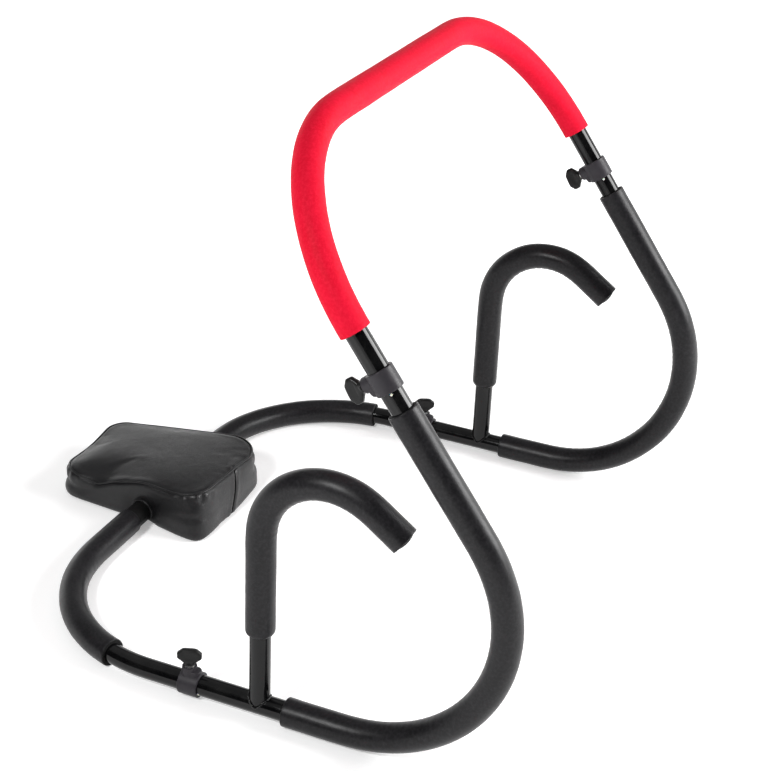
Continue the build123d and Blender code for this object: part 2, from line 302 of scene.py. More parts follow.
def pad_vinyl():
    """Soft black vinyl: pebbled grain with painted shade in its valleys, finer creasing and a
    satin shine.
    """
    material, tree, shader, place = new_material(
        "pad_vinyl", Specular_IOR_Level=0.3, Coat_Weight=0.08, Coat_Roughness=0.22)
    warp = add_node(tree, "TexNoise", {"Vector": place, "Scale": 300.0, "Detail": 2.0})
    bent = add_node(tree, "VectorMath", {0: warp.outputs["Color"], 1: (0.0012,) * 3},
                    operation="MULTIPLY")
    moved = add_node(tree, "VectorMath", {0: place, 1: bent.outputs["Vector"]},
                     operation="ADD").outputs["Vector"]
    pebbles = voronoi_texture(tree, moved, 620, "DISTANCE_TO_EDGE")
    valleys = map_range(tree, pebbles, 0.0, 0.16, 0, 1)
    soft = noise_texture(tree, place, 55, 3, 0.55, 0.6)
    fine = noise_texture(tree, place, 1600, 2, 0.6)
    handled = noise_texture(tree, place, 22, 4, 0.6)
    tone = from_noise(tree, handled)
    body = mix_colours(tree, tone, rgb(0.006, 0.0058, 0.0066), rgb(0.011, 0.0107, 0.0117))
    # the grain's valleys take a darker colour: painted shade in the recesses between the pebbles
    link_surface(tree, shader, mix_colours(tree, valleys, rgb(0.005, 0.005, 0.0055), body),
                 from_noise(tree, handled, 0.33, 0.46))
    add_bumps(tree, shader, [
        (soft, 1.2 * mm, 0.35),
        (valleys, 0.12 * mm, 0.55),
        (fine, 0.04 * mm, 0.4),
    ])
    return material


floor_glow_reach = (0.35, 1.3)          # distances from the object between which it grows
floor_glow = (0.32, 0.9)                # its strength at those distances


def floor_material():
    """Plain pale studio floor, lit from below more strongly where the lights fall off."""
    material, tree, shader, place = new_material(
        "pale_floor", Specular_IOR_Level=0.1, Emission_Color=grey(1))
    away = add_node(tree, "VectorMath", {0: place}, operation="LENGTH").outputs["Value"]
    glow = smooth_range(tree, away, *floor_glow_reach, *floor_glow)
    tree.links.new(glow, shader.inputs["Emission Strength"])
    tone = from_noise(tree, noise_texture(tree, place, 3, 3, 0.5))
    link_surface(tree, shader, mix_colours(tree, tone, grey(0.88), grey(0.9)),
                 map_range(tree, tone, 0, 1, 0.75, 0.85))
    return material


black_foam = foam_skin("black_foam", rgb(0.004, 0.0038, 0.0046),
                       rgb(0.0065, 0.0062, 0.0072), rgb(0.016, 0.015, 0.017), 0.36, 0.01, 0.22)
red_foam = foam_skin("red_foam", rgb(0.54, 0.0032, 0.018),
                     rgb(0.60, 0.005, 0.026), rgb(0.66, 0.009, 0.034), 0.6, 0.005, 0.06)
black_cut = foam_cut("black_foam_cut", grey(0.006), grey(0.022))
red_cut = foam_cut("red_foam_cut", rgb(0.36, 0.004, 0.012), rgb(0.62, 0.01, 0.025))
paint = gloss_paint()
collar_plastic = moulded_plastic(
    "collar_plastic", rgb(0.019, 0.017, 0.0205), rgb(0.027, 0.0245, 0.029),
    0.45, 0.24, 1400, 0.06 * mm)
knob_plastic = moulded_plastic(
    "knob_plastic", grey(0.006), grey(0.011),
    0.34, 0.2, 2200, 0.03 * mm)
plug_plastic = moulded_plastic(
    "plug_plastic", grey(0.004), grey(0.006),
    0.6, 0.06, 1800, 0.04 * mm)
sleeve_plastic = moulded_plastic(
    "sleeve_plastic", grey(0.004), grey(0.008),
    0.55, 0.2, 1500, 0.05 * mm)
zinc = zinc_plate()
nylon = milky_nylon()
vinyl = pad_vinyl()


# ------------------------------------------------------------------- mesh helpers
def new_piece(name, vertices, faces, materials, smooth=True):
    """A mesh object in the row frame, from points and faces."""
    mesh = bpy.data.meshes.new(name)
    mesh.from_pydata([tuple(v) for v in vertices], [], [tuple(f) for f in faces])
    mesh.validate()
    for material in materials:
        mesh.materials.append(material)
    mesh.polygons.foreach_set("use_smooth", [smooth] * len(mesh.polygons))
    piece = bpy.data.objects.new(name, mesh)
    scene.collection.objects.link(piece)
    return piece


def place_piece(piece, body, slot, *replaced):
    """Tie a finished piece to its body and hide the CAD nodes it stands for. The slot is not
    used.
    """
    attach(piece, body)
    if replaced:
        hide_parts(*replaced)
    return piece


def ring_quads(first, second, sides):
    """Faces between two rings of points, given by the rings' numbers."""
    for i in range(sides):
        j = (i + 1) % sides
        yield first * sides + i, first * sides + j, second * sides + j, second * sides + i


def stations_along(points):
    """Distance of each point from the first, along the line."""
    steps = np.linalg.norm(np.diff(points, axis=0), axis=1)
    return np.concatenate(([0], np.cumsum(steps)))


def smoothed(values, reach):
    """A running mean over this many neighbours on each side."""
    kernel = np.ones(2 * reach + 1) / (2 * reach + 1)
    return np.convolve(np.pad(values, reach, mode="edge"), kernel, mode="valid")


def unit_rows(vectors):
    return vectors / np.linalg.norm(vectors, axis=1)[:, None]


def apply_modifiers(piece):
    """Bake a piece's modifiers into its mesh."""
    bpy.context.view_layer.update()
    graph = bpy.context.evaluated_depsgraph_get()
    mesh = bpy.data.meshes.new_from_object(piece.evaluated_get(graph))
    old = piece.data
    piece.modifiers.clear()
    piece.data = mesh
    bpy.data.meshes.remove(old)


def smoothstep(low, high, value):
    share = np.clip((value - low) / (high - low), 0, 1)
    return share * share * (3 - 2 * share)


def recalculate_normals(piece):
    """Turn every face of a closed piece outwards."""
    work = bmesh.new()
    work.from_mesh(piece.data)
    bmesh.ops.recalc_face_normals(work, faces=work.faces)
    work.to_mesh(piece.data)
    work.free()


def mark_sharp(piece, degrees):
    """Keep edges crisp where the faces meet at more than this angle."""
    piece.data.set_sharp_from_angle(angle=radians(degrees))


# ------------------------------------------------------------------- foam sleeves
ring_step = 3.0 * mm
ring_points = 56
cut_round = 0.9 * mm
tuck_depth = (4.0 * mm, 5.5 * mm)       # how far a tucked end draws in, and over what length
bore_gap = 0.02 * mm                    # between the foam's bore and the tube
lump_heights = (0.22 * mm, 0.1 * mm)    # broad and fine unevenness of the skin
crease_pitch = 8.5 * mm                 # along the inside of a bend
crease_depth = 0.7 * mm
end_slant = 0.35 * mm                   # how far a cut end is out of square
straight_enough = 1e-6                  # curvature below which a run counts as straight


def centreline(origin, x_axis, y_axis, start, heading, runs):
    """Points, headings, curvature and length along straight runs (length,) and arcs
    (radius, turn in degrees) in a plane, all evenly spaced in each run."""
    point = np.array(start, float)
    angle = radians(heading)
    flat, angles, curvatures = [point.copy()], [angle], []
    for run in runs:
        turn = radians(run[1]) if len(run) == 2 else 0.0
        length = abs(turn) * run[0] if turn else run[0]
        count = max(1, round(length / ring_step))
        bend = turn / length
        for _ in range(count):
            middle = angle + turn / count / 2
            chord = length / count
            if turn:
                chord = 2 / abs(bend) * sin(abs(turn) / count / 2)
            point = point + chord * np.array((cos(middle), sin(middle)))
            angle += turn / count
            flat.append(point.copy())
            angles.append(angle)
            curvatures.append(bend)
    flat, angles = np.array(flat), np.array(angles)
    curvatures = smoothed(np.array(curvatures + curvatures[-1:]), 2)
    x_axis, y_axis, origin = (np.array(v, float) for v in (x_axis, y_axis, origin))
    points = origin + flat[:, :1] * x_axis + flat[:, 1:] * y_axis
    left = np.outer(-np.sin(angles), x_axis) + np.outer(np.cos(angles), y_axis)
    along = np.outer(np.cos(angles), x_axis) + np.outer(np.sin(angles), y_axis)
    return {"points": points, "left": left, "along": along, "bend": curvatures,
            "square": np.cross(x_axis, y_axis)}


def end_profile(kind):
    """(length in from the end, drop from the outer radius) round a foam end's rim."""
    steps = 6
    if kind == "tucked":
        drop, length = tuck_depth
    else:
        drop, length = cut_round, cut_round
    turns = [pi / 2 * i / steps for i in range(steps + 1)]
    return [(length * (1 - sin(t)), drop * (1 - cos(t))) for t in reversed(turns)]


def foam_sleeve(name, line, seed, ends, skin, cut):
    """A foam tube on a bent line: thinner outside its bends and thicker inside, with
    slight lumps, shallow creases inside the bends, and cut or tucked ends."""
    wall = foam_radius - tube_radius
    middle = (foam_radius + tube_radius) / 2
    bore = tube_radius + bore_gap
    points, left, along, bend = (line[k] for k in ("points", "left", "along", "bend"))
    square = line["square"]
    stations = stations_along(points)
    total = stations[-1]
    start_rim, end_rim = end_profile(ends[0]), end_profile(ends[1])
    start_length = max(p[0] for p in start_rim)
    end_length = max(p[0] for p in end_rim)
    body_start = start_length + ring_step / 2
    body_end = total - end_length - ring_step / 2
    body = [s for s in stations if body_start < s < body_end]
    rings = sorted(start_rim) + [(s, 0.0) for s in body]
    rings += [(total - s, d) for s, d in sorted(end_rim, reverse=True)]
    angles = np.arange(ring_points) * 2 * pi / ring_points
    shift = Vector((seed * 7.31, seed * 3.17, seed * 1.93))

    def at(station, field):
        return np.array([np.interp(station, stations, field[:, i]) for i in range(3)])

    def ring(station, drop, inner=False):
        centre, side, ahead = at(station, points), at(station, left), at(station, along)
        side /= np.linalg.norm(side)
        k = np.interp(station, stations, bend)
        made = []
        for angle in angles:
            radial = cos(angle) * side + sin(angle) * square
            if inner:
                made.append(centre + radial * bore)
                continue
            stretch = 1 - k * middle * cos(angle)
            thick = wall * stretch ** -0.7
            outward = centre + radial * foam_radius
            spot = Vector(outward)
            lumps = noise.noise(spot * 30 + shift) * lump_heights[0]
            lumps += noise.noise(spot * 95 + shift) * lump_heights[1]
            bent = abs(k) > straight_enough
            inside = max(0.0, k / abs(k) * cos(angle)) if bent else 0.0
            pucker = abs(k) * hook_radius * inside ** 3
            wander = noise.noise(spot * 22 + shift * 2) * 5
            crease = abs(sin(pi * station / crease_pitch + wander)) ** 0.6 - 0.75
            radius = tube_radius + thick + lumps + pucker * crease * crease_depth
            radius -= drop * (radius - tube_radius - 0.15 * mm) / wall
            slant = noise.noise(spot * 45 + shift * 3) * end_slant
            near_end = exp(-min(station, total - station) / (4 * mm))
            made.append(centre + radial * radius + ahead * slant * near_end)
        return made

    vertices, faces, kinds = [], [], []
    for station, drop in rings:
        vertices += ring(station, drop)
    outer_rings = len(rings)
    inner_stations = [rings[0][0]] + body + [rings[-1][0]]
    for station in inner_stations:
        vertices += ring(station, 0, inner=True)

    def band(a, b, kind, flip=False):
        for quad in ring_quads(a, b, ring_points):
            faces.append(quad[::-1] if flip else quad)
            kinds.append(kind)

    for r in range(outer_rings - 1):
        band(r, r + 1, 0)
    first_inner = outer_rings
    last_inner = outer_rings + len(inner_stations) - 1
    for r in range(first_inner, last_inner):
        band(r, r + 1, 0, flip=True)
    band(first_inner, 0, 1)
    band(outer_rings - 1, last_inner, 1)
    vertices = np.array(vertices)
    vertices[:, 2] = np.maximum(vertices[:, 2], cad_low.z)
    piece = new_piece(name, vertices, faces, [skin, cut])
    piece.data.polygons.foreach_set("material_index", kinds)
    recalculate_normals(piece)
    mark_sharp(piece, 55)
    return piece


Y, Z = (0, 1, 0), (0, 0, 1)
for index, (side, sign) in enumerate(side_signs.items()):
    plane = ((sign * half_width, 0, 0), Y, Z)
    line = centreline(*plane, (post_y - side_foam_gap, tube_z), 180, [
        (lower_run - side_foam_gap,),
        (rocker_radius, -rocker_turn),
        (upper_run - side_foam_top_gap,),
    ])
    sleeve = foam_sleeve(f"{side}_side_foam_sleeve", line, 1 + index, ("cut", "cut"),
                         black_foam, black_cut)
    place_piece(sleeve, "frame", "black_foam", f"{side}_side_foam")

    line = centreline(*plane, (post_y, tube_z + post_foam_start[side]), 90, [
        (post_height - post_foam_start[side],),
        (hook_radius, hook_turn),
        (hook_tail,),
    ])
    sleeve = foam_sleeve(f"{side}_armrest_foam_sleeve", line, 3 + index, ("tucked", "cut"),
                         black_foam, black_cut)
    place_piece(sleeve, "frame", "black_foam", f"{side}_armrest_foam")

    angle = rear_foam_angle[side]
    rear_leg_end = bar_y - rear_radius
    start = (
        sign * (half_width - rear_radius * (1 - cos(radians(angle)))),
        rear_leg_end + rear_radius * sin(radians(angle)),
    )
    straight = half_width - rear_radius - abs(rear_foam_end[side])
    line = centreline((0, 0, tube_z), (1, 0, 0), Y, start, 90 + sign * angle, [
        (rear_radius, sign * (90 - angle)),
        (straight,),
    ])
    sleeve = foam_sleeve(f"{side}_rear_foam_sleeve", line, 5 + index, ("cut", "cut"),
                         black_foam, black_cut)
    place_piece(sleeve, "rear_bar", "black_foam", f"{side}_rear_foam")

line = centreline(upper_clamp, (1, 0, 0), upright, (-half_width, handle_foam_start), 90, [
    (handle_leg - handle_foam_start,),
    (handle_radius, -90),
    (2 * (half_width - handle_radius),),
    (handle_radius, -90),
    (handle_leg - handle_foam_start,),
])
sleeve = foam_sleeve("handle_foam_sleeve", line, 7, ("cut", "cut"), red_foam, red_cut)
place_piece(sleeve, "handle", "red_foam", "handle_foam")


# ------------------------------------------------------------------------ head pad
pad_low, pad_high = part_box("pad_cover")
pad_across, pad_along, pad_up = 40, 48, 12          # cells across, along and up the walls
pad_front, pad_rear = pad_low.y, pad_high.y
pad_middle_x = (pad_low.x + pad_high.x) / 2
pad_front_half = (pad_high.x - pad_low.x) / 2 + 2.2 * mm
pad_rear_half = pad_front_half - (pad_rear - pad_front) * tan(radians(5))
pad_heights = (60 * mm, 33 * mm)                    # top seam at the front and at the rear
pad_top_radii = (28 * mm, 40 * mm, 22 * mm, 38 * mm)
pad_bottom_radii = (14 * mm, 35 * mm, 22 * mm, 29 * mm)
pad_welt_radius = 1.2 * mm
pad_join_radius = 0.9 * mm
pad_crown = 4.5 * mm
pad_frames = 24
pad_pressure = 4.5
pad_bending = 0.7
pad_slack = 0.13
pad_cap = 12 * mm                                   # the cloth moves no further than this
pad_floor_gap = 1.6 * mm                            # height of the bottom seam
pad_rear_near = 2 * pad_across + pad_along          # the rear near corner's place in a loop
# joins down the wall: where their side starts, and x at the top and at the bottom
pad_joins = [(0, 38 * mm, 15 * mm), (pad_across + pad_along, 30 * mm, 30 * mm)]
# corners drawn in: place in the loop, depth, and height as a share of the top seam's
pad_pinches = [(pad_rear_near, 5.0 * mm, 0.5), (pad_across, 7.0 * mm, 0.6), (0, 1.2 * mm, 0.5)]
# small tucks beside a corner: place in the loop, height and spacing
pad_tucks = [
    (0, 1.3 * mm, 14 * mm),
    (pad_across, 0.8 * mm, 15 * mm),
    (pad_rear_near, 1.2 * mm, 13 * mm),
]
hem_points = 48
hem_radius = 1.5 * mm


def unit(vector):
    return vector / np.linalg.norm(vector)


def rounded_outline(corners, radii):
    """Sides of a rounded polygon, each from the middle of one corner to the next."""
    arcs = []
    count = len(corners)
    for index, (corner, radius) in enumerate(zip(corners, radii)):
        before = unit(corners[index - 1] - corner)
        after = unit(corners[(index + 1) % count] - corner)
        half = atan2(np.linalg.norm(before - after), np.linalg.norm(before + after))
        centre = corner + unit(before + after) * radius / sin(half)
        spokes = [corner + way * radius / tan(half) - centre for way in (before, after)]
        first, last = (atan2(spoke[1], spoke[0]) for spoke in spokes)
        sweep = (last - first + pi) % (2 * pi) - pi
        angles = first + sweep * np.linspace(0, 1, 17)
        arcs.append(centre + radius * np.stack((np.cos(angles), np.sin(angles)), axis=1))
    return [np.concatenate((arcs[i][8:], arcs[(i + 1) % count][:9])) for i in range(count)]


def spread(points, cells):
    """Points resampled at even distances along a polyline."""
    stations = stations_along(points)
    wanted = np.linspace(0, stations[-1], cells + 1)
    columns = [np.interp(wanted, stations, column) for column in points.T]
    return np.stack(columns, axis=1)


def bump_at(value, place, width):
    """A smooth hump of height one."""
    return np.exp(-((value - place) / width) ** 2)


def seam_loop(offset, radii):
    """Plan of a seam: even points round the pad, drawn out by an offset."""
    front, rear = pad_front - offset, pad_rear + offset
    half_front, half_rear = pad_front_half + offset, pad_rear_half + offset
    corners = [np.array(p) for p in (
        (pad_middle_x - half_front, front),
        (pad_middle_x + half_front, front),
        (pad_middle_x + half_rear, rear + 2 * mm),
        (pad_middle_x - half_rear, rear),
    )]
    sides = rounded_outline(corners, radii)
    cells = (pad_across, pad_along, pad_across, pad_along)
    return np.concatenate([spread(side, n)[:-1] for side, n in zip(sides, cells)])


def fill_panel(loop):
    """Grid of points stretched across a closed loop, relaxed to even cells."""
    a, b = pad_across, pad_along
    front, right = loop[:a + 1], loop[a:a + b + 1]
    back = loop[a + b:2 * a + b + 1][::-1]
    left = np.concatenate((loop[2 * a + b:], loop[:1]))[::-1]
    u = np.linspace(0, 1, a + 1)[:, None, None]
    v = np.linspace(0, 1, b + 1)[None, :, None]
    grid = (1 - v) * front[:, None] + v * back[:, None] + (1 - u) * left[None] + u * right[None]
    grid -= (1 - u) * (1 - v) * front[0] + u * (1 - v) * front[-1]
    grid -= (1 - u) * v * back[0] + u * v * back[-1]
    for _ in range(80):
        near = grid[2:, 1:-1] + grid[:-2, 1:-1] + grid[1:-1, 2:] + grid[1:-1, :-2]
        grid[1:-1, 1:-1] = near / 4
    return grid


def loop_indices():
    """Grid positions of a panel's rim, in the order of its loop."""
    a, b = pad_across, pad_along
    rim = [(i, 0) for i in range(a)] + [(a, j) for j in range(b)]
    return rim + [(a - i, b) for i in range(a)] + [(0, b - j) for j in range(b)]


def pad_shape():
    """Points, faces and rim orders of the unsewn cushion: top, walls and bottom."""
    fall = (pad_heights[0] - pad_heights[1]) / (pad_rear - pad_front)
    top_plan = seam_loop(-1.0 * mm, pad_top_radii)
    bottom_plan = seam_loop(0.0, pad_bottom_radii)
    x, y = top_plan[:, 0], top_plan[:, 1]
    height = pad_heights[0] - fall * (y - pad_front)
    near = smoothstep(pad_middle_x, pad_middle_x - 60 * mm, x)
    far = smoothstep(pad_middle_x, pad_middle_x + 60 * mm, x)
    front = smoothstep(pad_front + 40 * mm, pad_front, y)
    # the seam rises over the sleeve, dips behind it and sags along the front
    height += near * 6.0 * mm * bump_at(y, bar_y - 4 * mm, 30 * mm)
    height -= near * 8.0 * mm * bump_at(y, 292 * mm, 20 * mm)
    height += near * 3.0 * mm * bump_at(y, 340 * mm, 14 * mm)
    height -= front * 4.5 * mm * bump_at(x, 45 * mm, 60 * mm)
    height -= far * 6.0 * mm * bump_at(y, pad_front, 42 * mm)
    height += far * 3.0 * mm * bump_at(y, 290 * mm, 55 * mm)
    height += far * 3.0 * mm * bump_at(y, pad_rear, 40 * mm)
    top_loop = np.column_stack((x, y, height))

    x, y = bottom_plan[:, 0], bottom_plan[:, 1]
    outward = np.column_stack((x - pad_middle_x, (y - (pad_front + pad_rear) / 2) * 0.8))
    outward = unit_rows(outward)
    near = smoothstep(pad_middle_x, pad_middle_x - 60 * mm, x)
    front = smoothstep(pad_front + 40 * mm, pad_front, y)
    push = near * 9.0 * mm * bump_at(y, 158 * mm, 34 * mm)
    push = np.maximum(push, front * 6.0 * mm * bump_at(x, 20 * mm, 70 * mm))
    bottom_height = np.full(len(x), pad_floor_gap)
    bottom_loop = np.column_stack((bottom_plan + outward * push[:, None], bottom_height))

    top, bottom = fill_panel(top_loop), fill_panel(bottom_loop)
    u = np.linspace(-1, 1, pad_across + 1)[:, None]
    v = np.linspace(-1, 1, pad_along + 1)[None, :]
    top[:, :, 2] += pad_crown * (1 - u**4) * (1 - v**4)
    rows = [top_loop + (bottom_loop - top_loop) * r / pad_up for r in range(1, pad_up)]
    middle = top_loop.mean(axis=0)
    for r, row in enumerate(rows, 1):
        away = unit_rows(row[:, :2] - middle[:2])
        row[:, :2] += away * 2.5 * mm * sin(pi * r / pad_up)

    a, b = pad_across + 1, pad_along + 1
    vertices = np.concatenate([top.reshape(-1, 3), *rows, bottom.reshape(-1, 3)])
    rim = [i * b + j for i, j in loop_indices()]
    ring = len(rim)
    wall_start = a * b
    bottom_start = wall_start + ring * (pad_up - 1)
    wall_starts = range(wall_start, bottom_start, ring)
    orders = [rim, *(list(range(start, start + ring)) for start in wall_starts)]
    orders.append([bottom_start + index for index in rim])
    faces = []
    for start, flip in ((0, False), (bottom_start, True)):
        for i in range(a - 1):
            for j in range(b - 1):
                quad = [start + i * b + j, start + (i + 1) * b + j,
                        start + (i + 1) * b + j + 1, start + i * b + j + 1]
                faces.append(quad[::-1] if flip else quad)
    for upper, lower in zip(orders, orders[1:]):
        for k in range(ring):
            m = (k + 1) % ring
            faces.append([upper[k], lower[k], lower[m], upper[m]])
    return vertices, faces, orders, bottom_start


def add_group(piece, name, weights):
    """A vertex group with one weight per vertex."""
    group = piece.vertex_groups.new(name=name)
    for index, weight in enumerate(weights):
        if weight > 0:
            group.add([index], float(weight), "REPLACE")
    return group.name


def sew_and_stuff(piece, pinned, slack):
    """Inflate the sewn cover as cloth with its pinned parts held."""
    hold = add_group(piece, "held", pinned)
    extra = add_group(piece, "slack", slack)
    cloth = piece.modifiers.new("stuffing", "CLOTH")
    settings = cloth.settings
    settings.quality = 7
    settings.mass = 0.25
    settings.air_damping = 2.5
    settings.tension_stiffness = settings.compression_stiffness = 18
    settings.shear_stiffness = 6
    settings.bending_stiffness = pad_bending
    settings.tension_damping = settings.compression_damping = settings.shear_damping = 8
    settings.use_pressure = True
    settings.uniform_pressure_force = pad_pressure
    settings.vertex_group_mass = hold
    settings.pin_stiffness = 1.0
    settings.vertex_group_shrink = extra
    settings.shrink_min = 0.0
    settings.shrink_max = -pad_slack
    settings.effector_weights.gravity = 0
    cloth.collision_settings.use_collision = False
    cloth.point_cache.frame_start = 1
    cloth.point_cache.frame_end = pad_frames
    for number in range(1, pad_frames + 1):
        scene.frame_set(number)
    apply_modifiers(piece)
    scene.frame_set(1)


def build_pad():
    """Cut, sew, stuff and crease the cover: the piece, its seam loops and its joins."""
    vertices, faces, orders, bottom_start = pad_shape()
    piece = new_piece("head_pad_cover", vertices, faces, [vinyl])
    count = len(vertices)
    x, y, z = vertices.T
    across = np.hypot(y - bar_y, z - tube_z)
    beside = np.abs(x - pad_middle_x) > pad_rear_half - 20 * mm
    hole = beside & (z > 1.3 * mm)
    gather = np.where(hole, np.exp(-(np.maximum(across - sleeve_radius, 0) / (9 * mm)) ** 2), 0)
    drawn = np.sign(x - pad_middle_x) * gather * 5 * mm
    rest = vertices.copy()
    rest[:, 0] -= drawn
    piece.data.vertices.foreach_set("co", rest.ravel())
    pinned = np.zeros(count)
    pinned[bottom_start:] = 1.0
    pinned = np.maximum(pinned, np.where(gather > 0.6, 1.0, 0.0))
    for index in orders[0]:
        pinned[index] = max(pinned[index], 0.25)
    slack = np.full(count, 0.35)
    for order in (orders[0], orders[-1]):
        slack[order] = 0.0
    loop_corners = (0, pad_across, pad_across + pad_along, pad_rear_near)
    for place in rest[orders[0]][list(loop_corners)]:
        distance = np.hypot(x - place[0], y - place[1])
        slack = np.maximum(slack, np.where(slack > 0, np.exp(-(distance / (34 * mm)) ** 2), 0))
    sew_and_stuff(piece, pinned, slack)
    made = np.empty(count * 3)
    piece.data.vertices.foreach_get("co", made)
    moved = made.reshape(-1, 3) - rest
    length = np.linalg.norm(moved, axis=1)
    moved *= np.minimum(1, pad_cap / np.maximum(length, 1e-9))[:, None]
    settled = rest + moved
    settled[:, 2] = np.maximum(settled[:, 2], cad_low.z)
    piece.data.vertices.foreach_set("co", settled.ravel())
    piece.data.update()
    piece.vertex_groups.clear()
    loops = {"top": settled[orders[0]], "bottom": settled[orders[-1]]}
    joins = [wall_join(settled, orders, *ends) for ends in pad_joins]
    divide = piece.modifiers.new("finer", "SUBSURF")
    divide.levels = divide.render_levels = 1
    apply_modifiers(piece)
    press_seams(piece, loops, joins)
    return piece, loops, joins


def closed_curve(points, steps):
    """A closed smooth curve through points, with a number of steps between each pair."""
    before, after, beyond = (np.roll(points, n, axis=0) for n in (1, -1, -2))
    made = []
    for t in np.arange(steps) / steps:
        made.append(0.5 * (2 * points + (after - before) * t
                           + (2 * before - 5 * points + 4 * after - beyond) * t**2
                           + (3 * points - before - 3 * after + beyond) * t**3))
    return np.stack(made, axis=1).reshape(-1, 3)


def distances_to(places, line):
    """Distance from each place to the nearest point of a dense line."""
    tree = KDTree(len(line))
    for index, point in enumerate(line):
        tree.insert(point, index)
    tree.balance()
    return np.array([tree.find(place)[2] for place in places])


def seam_relief(distance, groove, width, ridge):
    """Height across a seam: a narrow groove between two soft ridges."""
    ridges = ridge * bump_at(distance, 3.6 * width, 2.2 * width)
    return ridges - groove * bump_at(distance, 0, width)


def wall_join(places, orders, start, top_x, bottom_x):
    """A seam down the wall from the top seam to the bottom one, over part of the rim."""
    line = []
    for row, order in enumerate(orders):
        wall = places[order[start:start + pad_across]]
        x = top_x + (bottom_x - top_x) * row / pad_up
        turn = np.argsort(wall[:, 0])
        line.append([np.interp(x, wall[turn, 0], wall[turn, axis]) for axis in range(3)])
    stations = np.linspace(0, pad_up, 90)
    columns = [np.interp(stations, range(pad_up + 1), column) for column in np.array(line).T]
    return np.stack(columns, axis=1)


def press_seams(piece, loops, joins):
    """Sink the seams into the cover and lift small tucks at the corners."""
    count = len(piece.data.vertices)
    places = np.empty(count * 3)
    piece.data.vertices.foreach_get("co", places)
    places = places.reshape(-1, 3)
    normals = np.empty(count * 3)
    piece.data.vertices.foreach_get("normal", normals)
    normals = normals.reshape(-1, 3)
    lift = np.zeros(count)
    for loop in loops.values():
        apart = distances_to(places, closed_curve(loop, 4))
        lift += seam_relief(apart, 1.3 * mm, 1.7 * mm, 0.55 * mm)
    for join in joins:
        lift += seam_relief(distances_to(places, join), 2.0 * mm, 1.5 * mm, 0.6 * mm)
    x, y, z = places.T
    top = closed_curve(loops["top"], 1)
    for corner, depth, level in pad_pinches:
        start = top[corner]
        flat = np.hypot(x - start[0], y - start[1])
        lift -= depth * bump_at(flat, 0, 20 * mm) * bump_at(z, level * start[2], 4.5 * mm)
    for corner, amount, reach in pad_tucks:
        start = top[corner]
        along = np.hypot(x - start[0], y - start[1])
        below = start[2] - z
        wave = np.cos(along / reach * 2 * pi) * bump_at(along, 0, 1.6 * reach)
        lift += amount * wave * bump_at(below, 7 * mm, 5 * mm)
    places += normals * lift[:, None]
    places[:, 2] = np.maximum(places[:, 2], cad_low.z)
    piece.data.vertices.foreach_set("co", places.ravel())
    piece.data.update()


def tube_along(name, points, radius, sides, material, up=(0, 0, 1)):
    """A round cord along a closed line of points."""
    count = len(points)
    ahead = unit_rows(np.roll(points, -1, axis=0) - np.roll(points, 1, axis=0))
    side = unit_rows(np.cross(ahead, np.array(up, float)))
    lift = np.cross(side, ahead)
    radii = np.broadcast_to(radius, (count,))
    vertices = []
    for i in range(count):
        for s in range(sides):
            turn = 2 * pi * s / sides
            vertices.append(points[i] + radii[i] * (cos(turn) * side[i] + sin(turn) * lift[i]))
    faces = [quad for i in range(count) for quad in ring_quads(i, (i + 1) % count, sides)]
    piece = new_piece(name, vertices, faces, [material])
    recalculate_normals(piece)
    return piece


pad, pad_loops, pad_joins_made = build_pad()
place_piece(pad, "head_pad", "pad_vinyl", "pad_cover", "pad_foam")
seam = pad_loops["top"]
away = unit_rows(seam[:, :2] - seam.mean(axis=0)[:2])
away = np.column_stack((away, np.zeros(len(seam))))
cord = closed_curve(seam, 3) - closed_curve(away, 3) * 0.5 * mm
place_piece(tube_along("head_pad_welt", cord, pad_welt_radius, 8, vinyl), "head_pad", "pad_vinyl")

for index, join in enumerate(pad_joins_made):
    outward = np.array((0, -1 if index == 0 else 1, 0)) * 0.35 * mm
    line = join[5:-5] - outward
    there_and_back = np.concatenate((line, line[::-1] - outward))
    # a dark, matt cord along each join: the seam's thread, kept dark to paint the shade of the
    # join's groove
    thread_and_groove_shade = tube_along(f"head_pad_join_{index}", there_and_back, pad_join_radius, 6,
                        plug_plastic, up=(1, 0, 0))
    place_piece(thread_and_groove_shade, "head_pad", "black_plastic")

pad_places = np.array([vertex.co for vertex in pad.data.vertices])
for side, sign in side_signs.items():
    wall = pad_places[sign * (pad_places[:, 0] - pad_middle_x) > 55 * mm]
    turns = np.linspace(0, 2 * pi, hem_points, endpoint=False)
    reach = sleeve_radius + 0.9 * mm
    ring = np.column_stack((
        np.zeros(hem_points),
        bar_y + reach * np.cos(turns),
        tube_z + reach * np.sin(turns),
    ))
    for point in ring:
        apart = np.hypot(wall[:, 1] - point[1], wall[:, 2] - point[2])
        point[0] = np.mean(wall[np.argsort(apart)[:4], 0]) + sign * 0.5 * mm
    ring[:, 0] = np.mean([np.roll(ring[:, 0], n) for n in range(-3, 4)], axis=0)
    ring[:, 2] = np.maximum(ring[:, 2], hem_radius)
    hem = tube_along(f"head_pad_{side}_hem", ring, hem_radius, 8, vinyl, up=(sign, 0, 0))
    place_piece(hem, "head_pad", "pad_vinyl")

# ---------------------------------------------------------------------- weld beads
weld_radius = 1.25 * mm
weld_corner = 0.2 * mm                  # the bead's middle stands this far out of the corner


